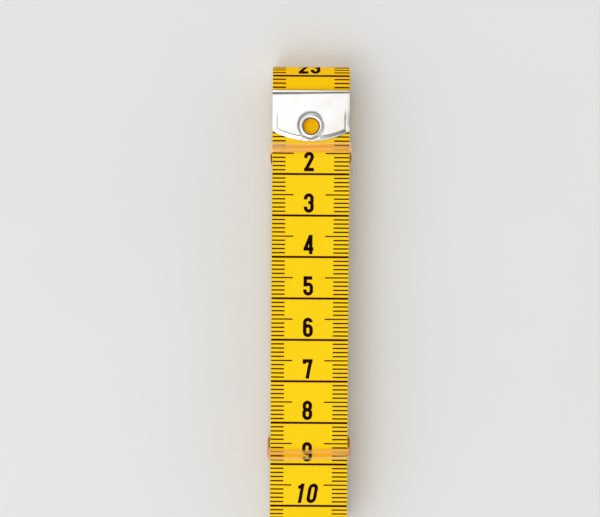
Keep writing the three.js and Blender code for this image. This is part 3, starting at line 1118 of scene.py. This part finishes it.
# %% Painted shade in the hollows
# Strengths and widths of the painted shade in the crease, beside the step and round the dish.
CREASE_PAINTED_SHADE, CREASE_NEAR_WIDE, CREASE_FAR_WIDE, CREASE_LEAN = 1.4, 0.16, 0.26, 0.40
STEP_SHADE_WIDE = 0.13
LEFT_FADE_FROM, LEFT_FADE_TO = 0.6, 1.6
RING_PAINTED_SHADE, RING_LEAST, RING_AT, RING_LIFT, RING_WIDE = 1.0, 0.3, 2.98, 0.40, 0.22
SHADED_UP, SHADED_LEFT, SHADED_RANGE, LOW_RANGE = 0.8, 0.6, (-0.6, 0.5), (0.75, 1.0)
LIFT_LEFT, LIFT_RANGE = 0.15, (0.1, 0.9)
DISH_FLOOR_SHADE, FLOOR_AT, FLOOR_WIDE = 0.80, 2.90, 0.28
FLOOR_LEFT_LEAST, FLOOR_RIGHT_RANGE = 0.25, (-0.3, 0.6)
FLOOR_LOW_LEAST, FLOOR_UPPER_RANGE = 0.35, (-0.8, 0.1)


def bell(distance, wide):
    """1 at no distance, falling softly to 0 beyond the width."""
    return np.exp(-np.square(distance / wide))


def at_least(least, share):
    """From the least amount at a share of 0 to all at a share of 1."""
    return least + (1 - least) * share


def dish_grime(across, from_tip):
    """Painted shade: a ring round the dish, further out on its upper side, and a softer one on its floor at
    the right.
    """
    out = np.hypot(across, from_tip - eyelet_s)
    upper, right = (eyelet_s - from_tip) / out, across / out
    shaded = smooth(*SHADED_RANGE, SHADED_UP * upper - SHADED_LEFT * right)
    shaded = np.maximum(shaded, smooth(*LOW_RANGE, -upper))
    ring_at = RING_AT + RING_LIFT * smooth(*LIFT_RANGE, upper - LIFT_LEFT * right)
    ring = RING_PAINTED_SHADE * bell(out - ring_at, RING_WIDE) * at_least(RING_LEAST, shaded)
    floor_shaded = at_least(FLOOR_LEFT_LEAST, smooth(*FLOOR_RIGHT_RANGE, right))
    floor_shaded = floor_shaded * at_least(FLOOR_LOW_LEAST, smooth(*FLOOR_UPPER_RANGE, upper))
    return np.maximum(ring, DISH_FLOOR_SHADE * bell(out - FLOOR_AT, FLOOR_WIDE) * floor_shaded)


def hollows(flat, dished):
    """Painted shade, from 0 to 1: in the crease, beside the border's step, and in the dish."""
    across, along = flat.T
    from_tip = np.abs(along) - unfolded(0.0)
    past = past_crease(across, from_tip)
    far_wide = CREASE_FAR_WIDE * (1 - CREASE_LEAN * across / half_width)
    painted_shade = np.minimum(CREASE_PAINTED_SHADE * bell(past, np.where(past < 0, CREASE_NEAR_WIDE, far_wide)), 1)
    beside_step = bell(off_border(across, from_tip), STEP_SHADE_WIDE)
    beside_step = beside_step * smooth(LEFT_FADE_FROM, LEFT_FADE_TO, half_width + across)
    painted_shade = np.maximum(painted_shade, beside_step * smooth(FIELD_FROM, FIELD_FULL, from_tip))
    return np.maximum(painted_shade, dish_grime(across, from_tip)) if dished else painted_shade


# %% Both clips
def folded_clip(name, tip, middle_z, holes):
    """A whole clip, with its hole on both sides where it has one."""
    rows = clip_rows()
    flat, net = cut_pattern(clip_outline(rows), clip_inside(rows, holes), holes)
    layers = [fold_plate(flat, tip, middle_z, bool(holes), lift) for lift in (PLATE / 2, -PLATE / 2)]
    # The painted shade goes in as the third coordinate of both layers.
    painted_shade = hollows(flat, bool(holes))
    return sheet_piece(name, layers, net, (clip_nickel,), flat, (painted_shade, painted_shade))


clip_holes = [(0.0, side * unfolded(eyelet_s), hole_radius) for side in (1, -1)]
outer_end_clip = folded_clip("outer_end_clip", tip_y, front_z, clip_holes)
inner_end_clip = folded_clip("inner_end_clip", inner_high.y, inner_clip_z, [])

# %% [markdown]
# ## The eyelet
# A steel tube is pushed through clip and tape, and a punch rolls its ends outwards. The rolled rim is broad
# and nearly flat on top. A torus would be too round, so a drawn section is turned round the axis. The bore
# narrows a little downwards, and its wall is painted dark brown as painted shade, which draws a thin dark
# line round the hole.

# %% The eyelet's section
EYELET_WALL = 0.23
RIM_CROWN, RIM_EDGE, RIM_TUCK = 0.15, 0.12, 0.06
FOOT_CROWN, FLANGE_GAP, BARREL_STEP = 0.08, 0.03, 0.02
RIM_SPOTS, FOOT_SPOTS = 12, 8
BORE_FLARE, BORE_TAPER = 0.06, 0.24
# The last column marks the points of the bore wall that get painted shade.
BORE_WALL = ((-0.23, 0.34, 0), (-0.22, 0.38, 1), (0.0, 0.55, 1), (0.02, 0.60, 0))
bore_radius = barrel_radius - EYELET_WALL
eyelet_foot, eyelet_top = eyelet_low.z - front_z, eyelet_high.z - front_z
rim_base, flange_under = eyelet_top - RIM_CROWN, clip_half - FLANGE_GAP


def crown(inner, outer, base, height, count):
    """A flat crown between two radii, as radius and height pairs."""
    middle, half = (inner + outer) / 2, (outer - inner) / 2
    turn = np.linspace(math.pi, 0, count)
    return [(middle + half * math.cos(a), base + height * math.sin(a)) for a in turn]


eyelet_section = np.array(
    crown(bore_radius + BORE_FLARE, rim_radius, rim_base, RIM_CROWN, RIM_SPOTS)
    + [(rim_radius, rim_base - RIM_EDGE), (rim_radius - RIM_TUCK, flange_under)]
    + [(barrel_radius, flange_under - BARREL_STEP), (barrel_radius, -clip_half + BARREL_STEP)]
    + crown(rim_radius, bore_radius - BORE_TAPER, eyelet_foot + FOOT_CROWN, -FOOT_CROWN, FOOT_SPOTS)
    + [(bore_radius + aside, height) for aside, height, dark in BORE_WALL]
)
print("points in the eyelet's section:", len(eyelet_section))

# %% Turn the section round the axis
EYELET_STEPS = 96
turn = np.linspace(0, math.tau, EYELET_STEPS, endpoint=False)
radius, height = eyelet_section.T
across, along = np.outer(np.cos(turn), radius), eyelet_y + np.outer(np.sin(turn), radius)
sections = np.stack([across, along, np.broadcast_to(front_z + height, across.shape)], axis=-1)
# Painted shade on the bore wall: a dark brown ring inside the hole.
painted_bore_shade = np.zeros(len(radius))
painted_bore_shade[-len(BORE_WALL):] = [dark for aside, height, dark in BORE_WALL]
eyelet_places = np.column_stack([across.ravel(), along.ravel(), np.tile(painted_bore_shade, EYELET_STEPS)])
hanging_eyelet = ring_piece("hanging_eyelet", sections, eyelet_nickel, eyelet_places, crease=50)

# %% [markdown]
# ## Amber rubber
# The bands are clear amber rubber that has gone a little milky. Ink shows through the middle of a band,
# and a cloudy strip runs along each edge, partly real haze and partly a painted highlight, paler towards
# one edge.
# Glass would bend what lies under it and render slowly. So the rubber is mixed from a clear tinted part and
# a milky body, with more of the body in the cloudy strips and where the band goes down at the sides.

# %% Milky amber
# The paler amber is partly a painted highlight.
AMBER_MILKY_HIGHLIGHT, AMBER_DEEP = (1.00, 0.76, 0.40), (0.99, 0.55, 0.13)
BAND_WIDE = 2.5
# Milk across the band, from one edge to the other: the cloudy strips are partly a painted highlight.
MILK_AND_HIGHLIGHT_STOPS = (
    (0.0, 0.30), (0.16, 0.40), (0.28, 0.01), (0.50, 0.01), (0.62, 0.46), (0.78, 0.42), (0.95, 0.06),
)
STREAK_SIZE, STREAK_SWAY = (18.0, 0.42, 0.9), 0.35
CLEAR_INSIDE, MILKY_OUTSIDE = -0.2, 0.1
SIDE_EASE, SIDE_MILK = 0.25, 0.5
END_FROM, END_FULL, END_MILK = 3.0, 8.0, 0.18
MILKY_LEVEL, PALE_HIGHLIGHT_ACROSS, MILKY_STREAKS = 0.9, 1.6, 0.3
RUBBER_ROUGH, STREAK_ROUGH = 0.16, 0.16


def amber_rubber(name, haze, clear_tone, beside_tone, milky_way):
    """Lets the print show through; milky edges, partly a painted highlight; deeper where it goes down."""
    finish, shader, start = new_finish(name, {"Specular IOR Level": 0.5, "IOR": 1.5})
    place = place_on_piece(start)
    sideways, along, out = (coordinate(place, letter) for letter in "XYZ")
    through = {"Value": out, "From Min": CLEAR_INSIDE, "From Max": MILKY_OUTSIDE}
    outside = start.node("ShaderNodeMapRange", None, through)
    streaks = clouds(place, STREAK_SIZE, detail=2.0)
    across = along * milky_way / BAND_WIDE + 0.5 + (streaks - 0.5) * STREAK_SWAY
    beside = eased(start.math("ABSOLUTE", sideways), half_width - SIDE_EASE, half_width + SIDE_EASE)
    milky_end = eased(sideways * milky_way, END_FROM, END_FULL)
    # The milky body is partly a painted highlight, paler towards one edge of the band.
    milk_and_highlight = (ramp(across, MILK_AND_HIGHLIGHT_STOPS) + haze + milky_end * END_MILK + beside * SIDE_MILK) * outside
    pale = MILKY_LEVEL - across * PALE_HIGHLIGHT_ACROSS + streaks * MILKY_STREAKS
    tone = mix_colour(beside, mix_colour(pale, AMBER_DEEP, AMBER_MILKY_HIGHLIGHT), beside_tone)
    feed(shader, Base_Color=tone, Roughness=RUBBER_ROUGH + streaks * STREAK_ROUGH)
    body = Wire(start.tree, shader.outputs[0])
    clear = start.node("ShaderNodeBsdfTransparent", None, {"Color": (*clear_tone, 1)})
    mixed = start.node("ShaderNodeMixShader", None, {0: milk_and_highlight, 1: clear, 2: body})
    start.tree.links.new(mixed.socket, start.tree.nodes["Material Output"].inputs["Surface"])
    return finish


hazy_rubber = amber_rubber(
    "hazy_amber_rubber", haze=0.16, milky_way=-1,
    clear_tone=(0.99, 0.90, 0.72), beside_tone=(0.90, 0.58, 0.33),
)
clear_rubber = amber_rubber(
    "clear_amber_rubber", haze=0.0, milky_way=1,
    clear_tone=(0.985, 0.915, 0.70), beside_tone=(0.80, 0.33, 0.07),
)
print("rubber finishes:", hazy_rubber.name, clear_rubber.name)

# %% [markdown]
# ## The rubber bands
# Each band is a flat ring, stretched round the bundle and rolled askew, so that its back lies nearer the
# middle than its front. A curve with a bevel would twist at the corners. A rounded section carried round a
# rounded rectangle stays flat on the tape, and a shear slants it.

# %% The section and the loop of a band
BAND_THICK = 0.75
BAND_ROUND, ROUND_SPOTS = 0.30, 7
LOOP_CORNER, CORNER_STEPS = 0.45, 8


def rounded_section(width):
    """Offsets along the bundle and out of the loop, round a band's section."""
    spots = []
    for side, face, start in [(1, 1, 0), (-1, 1, 90), (-1, -1, 180), (1, -1, 270)]:
        cx, cy = side * (width / 2 - BAND_ROUND), face * (BAND_THICK / 2 - BAND_ROUND)
        turn = np.radians(np.linspace(start, start + 90, ROUND_SPOTS))
        spots += [(cx + BAND_ROUND * math.cos(a), cy + BAND_ROUND * math.sin(a)) for a in turn]
    return np.array(spots)


def band_loop(half, low, high):
    """Places and outward directions, in x and z, round the corners of a band's middle line."""
    places, outs = [], []
    corners = [(1, high, 90, 0), (1, low, 0, -90), (-1, low, -90, -180), (-1, high, 180, 90)]
    for side, z, start, end in corners:
        cx, cz = side * (half - LOOP_CORNER), z - math.copysign(LOOP_CORNER, z - (low + high) / 2)
        for a in np.radians(np.linspace(start, end, CORNER_STEPS)):
            outs.append((math.cos(a), math.sin(a)))
            places.append((cx + LOOP_CORNER * math.cos(a), cz + LOOP_CORNER * math.sin(a)))
    return np.array(places), np.array(outs)


print("points in a band's section:", len(rounded_section(BAND_WIDE)))

# %% Straight stretches between the corners
LOOP_STEP = 0.5


def filled(places, outs):
    """The same loop with steps along its straight stretches, and the length to each step."""
    fine, ways = [], []
    for i in range(len(places)):
        j = (i + 1) % len(places)
        count = max(1, round(float(np.linalg.norm(places[j] - places[i])) / LOOP_STEP))
        for share in np.arange(count) / count:
            way = outs[i] * (1 - share) + outs[j] * share
            fine.append(places[i] * (1 - share) + places[j] * share)
            ways.append(way / np.linalg.norm(way))
    fine = np.array(fine)
    steps = np.linalg.norm(np.diff(fine, axis=0), axis=1)
    return fine, np.array(ways), np.concatenate([[0], np.cumsum(steps)])


# %% Make a band
SNUG_FRONT, SNUG_SIDE = 0.06, 0.05
SIDE_BOW, SIDE_THIN, CORNER_THIN, SIDE_POWER = 0.08, 0.16, 0.50, 8
WOBBLES = ((0.03, 3.1, 0.0), (0.02, 1.3, 1.0))
FAT_BY, FAT_STRETCH = 0.02, 2.3


def rubber_band(name, node, finish, width, shift, tilt, narrowing, slanted):
    """A band in the place of its solid, a little shifted: tilt and narrowing run from left to right."""
    low, high = box_mm(node)
    backwards = 1 if low.y > 0 else -1
    slant = (high.y - low.y - width) / (high.z - low.z) * backwards * slanted
    front_y = (high.y - width / 2 if backwards > 0 else low.y + width / 2) + shift
    half = half_width + SNUG_SIDE + BAND_THICK / 2
    base, top = BAND_THICK / 2, front_z + face_lift + SNUG_FRONT + BAND_THICK / 2
    places, outs, along = filled(*band_loop(half, base, top))
    section = rounded_section(width)
    rings = []
    for (x, z), (ox, oz), length in zip(places, outs, along):
        share = x / half
        aside = share**SIDE_POWER
        to_corner = (2 * (z - base) / (top - base) - 1) ** 2
        bow = math.copysign(SIDE_BOW, x) * aside * (1 - to_corner)
        thin = aside * (SIDE_THIN + (CORNER_THIN - SIDE_THIN) * to_corner)
        wobble = sum(size * math.sin(length / stretch + phase) for size, stretch, phase in WOBBLES)
        fat = 1 + FAT_BY * math.sin(length / FAT_STRETCH) - narrowing * share
        out = (section[:, 1] + BAND_THICK / 2) * (1 - thin) - BAND_THICK / 2
        y = front_y + slant * (z - high.z) + tilt * share + wobble + section[:, 0] * fat
        rings.append(np.stack([x + bow + ox * out, y, z + oz * out], axis=1))
    marks = [np.column_stack([np.full(len(section), x), section]) for x in places[:, 0]]
    return ring_piece(name, np.array(rings), finish, np.concatenate(marks), crease=60)


upper_rubber_band = rubber_band(
    "upper_rubber_band", "upper_elastic_band", hazy_rubber,
    width=2.1, shift=0.08, tilt=0.12, narrowing=-0.02, slanted=1.0,
)
lower_rubber_band = rubber_band(
    "lower_rubber_band", "lower_elastic_band", clear_rubber,
    width=2.5, shift=0.25, tilt=0.22, narrowing=0.08, slanted=0.78,
)

# %% [markdown]
# ## What moves with what
# Each piece in the table rides on a body of the frame, and where it stands for a solid of the frame, that
# solid is hidden. The tape's first end and its print keep their place in the room.

# %% Ride and replace
rides = {
    wound_tape: ("hank", "tape_hank", "tape"),
    scale_print: ("hank", None, "tape"),
    inner_end_clip: ("hank", "inner_clip", "clip_metal"),
    outer_end_clip: ("free_end", "outer_clip", "clip_metal"),
    hanging_eyelet: ("free_end", "eyelet", "eyelet_metal"),
    upper_rubber_band: ("upper_band", "upper_elastic_band", "band_rubber"),
    lower_rubber_band: ("lower_band", "lower_elastic_band", "band_rubber"),
}
for piece, (body, node, slot) in rides.items():
    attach(piece, body)
    if node:
        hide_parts(node)

for piece in (tape_first_end, end_print):
    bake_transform(piece)
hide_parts("tape_lead")

# %% [markdown]
# ## Floor, light and camera
# The bundle lies on a pale table under a nearly even dome of light, so that flat metal looks white. Lamps
# alone would leave the metal black between their reflections. One dark card in the dome gives the sloped
# parts of the plate something dark to mirror, and a lamp at the near left gives the shadows a direction.

# %% A pale floor
FLOOR_SIZE, FLOOR_DROP = 3.0, 0.02 * MM
FLOOR_PALE, FLOOR_SHADE = (0.80, 0.80, 0.79), (0.76, 0.76, 0.755)
FLOOR_PATCH = (0.05, 0.05, 0.05)
floor_corners = [(-1, -1), (1, -1), (1, 1), (-1, 1)]
floor_mesh = bpy.data.meshes.new("floor")
floor_points = [(x * FLOOR_SIZE, y * FLOOR_SIZE, -FLOOR_DROP) for x, y in floor_corners]
floor_mesh.from_pydata(floor_points, [], [(0, 1, 2, 3)])
floor = add_object("floor", floor_mesh)
matt = {"Specular IOR Level": 0.2, "Roughness": 0.7}
floor_finish, floor_shader, floor_start = new_finish("pale_table", matt)
floor_place = floor_start.node("ShaderNodeTexCoord", output="Object")
feed(floor_shader, Base_Color=mix_colour(clouds(floor_place, FLOOR_PATCH), FLOOR_PALE, FLOOR_SHADE))
floor_mesh.materials.append(floor_finish)
print("floor finish:", floor_finish.name)

# %% A dome of light with one dark card
DOME_STOPS = ((0.0, 0.79), (0.4, 0.93), (0.8, 1.06), (1.0, 1.10))
CARD_WAY = Vector((0.45, -0.35, 0.82)).normalized()
CARD_STOPS = ((0.85, 0.0), (0.89, 0.2), (0.92, 0.85), (1.0, 0.95))
world = bpy.data.worlds.new("studio_dome")
bpy.context.scene.world = world
world.use_nodes = True
dome = Wire(world.node_tree)
towards = dome.node("ShaderNodeTexCoord", output="Generated")
glow = ramp(coordinate(towards, "Z"), DOME_STOPS)
facing = {0: towards, 1: CARD_WAY}
near_card = dome.node("ShaderNodeVectorMath", {"operation": "DOT_PRODUCT"}, facing, output="Value")
light = glow * (1 - ramp(near_card, CARD_STOPS))
dome.tree.links.new(light.socket, dome.tree.nodes["Background"].inputs["Color"])
print("nodes in the dome:", len(dome.tree.nodes))

# %% One large lamp
LAMP_PLACE = Vector((-0.28, -0.42, 0.80))
LAMP_SIZE, LAMP_POWER = 0.50, 1.5
lamp_light = bpy.data.lights.new("soft_lamp", "AREA")
lamp_light.shape = "DISK"
lamp_light.size = LAMP_SIZE
lamp_light.energy = LAMP_POWER
lamp = add_object("soft_lamp", lamp_light)
lamp.location = LAMP_PLACE
lamp.rotation_euler = (-LAMP_PLACE).to_track_quat("-Z", "Y").to_euler()
print(f"lamp {LAMP_PLACE.length:.2f} m from the bundle")

# %% [markdown]
# The photograph looks straight down through a long lens. Its scale follows from the printed centimetres,
# so the camera's height follows from the lens, and its place from where the clip's tip stands in the frame.

# %% The camera
FRAME_WIDE, FRAME_HIGH = 600, 517
PX_PER_MM = 4.146
TIP_PX = (311.3, 90.2)
FRAME_TURN = math.radians(0.4)
LENS, SENSOR = 400.0, 36.0

camera_data = bpy.data.cameras.new("camera")
camera_data.lens = LENS
camera_data.sensor_width = SENSOR
camera_data.clip_start, camera_data.clip_end = 0.01, 10.0
camera = add_object("camera", camera_data)
right, up = (TIP_PX[0] - FRAME_WIDE / 2) / PX_PER_MM, (FRAME_HIGH / 2 - TIP_PX[1]) / PX_PER_MM
cos, sin = math.cos(FRAME_TURN), math.sin(FRAME_TURN)
camera_height = FRAME_WIDE / PX_PER_MM * LENS / SENSOR
centre_x, centre_y = up * sin - right * cos, tip_y - (right * sin + up * cos)
centre = Vector((centre_x, centre_y, front_z + face_lift + camera_height))
camera.location = centre * MM
camera.rotation_euler = (0, 0, FRAME_TURN)
bpy.context.scene.camera = camera
bpy.context.scene.view_settings.view_transform = "Standard"
print("camera at", [round(v, 1) for v in centre], "mm")
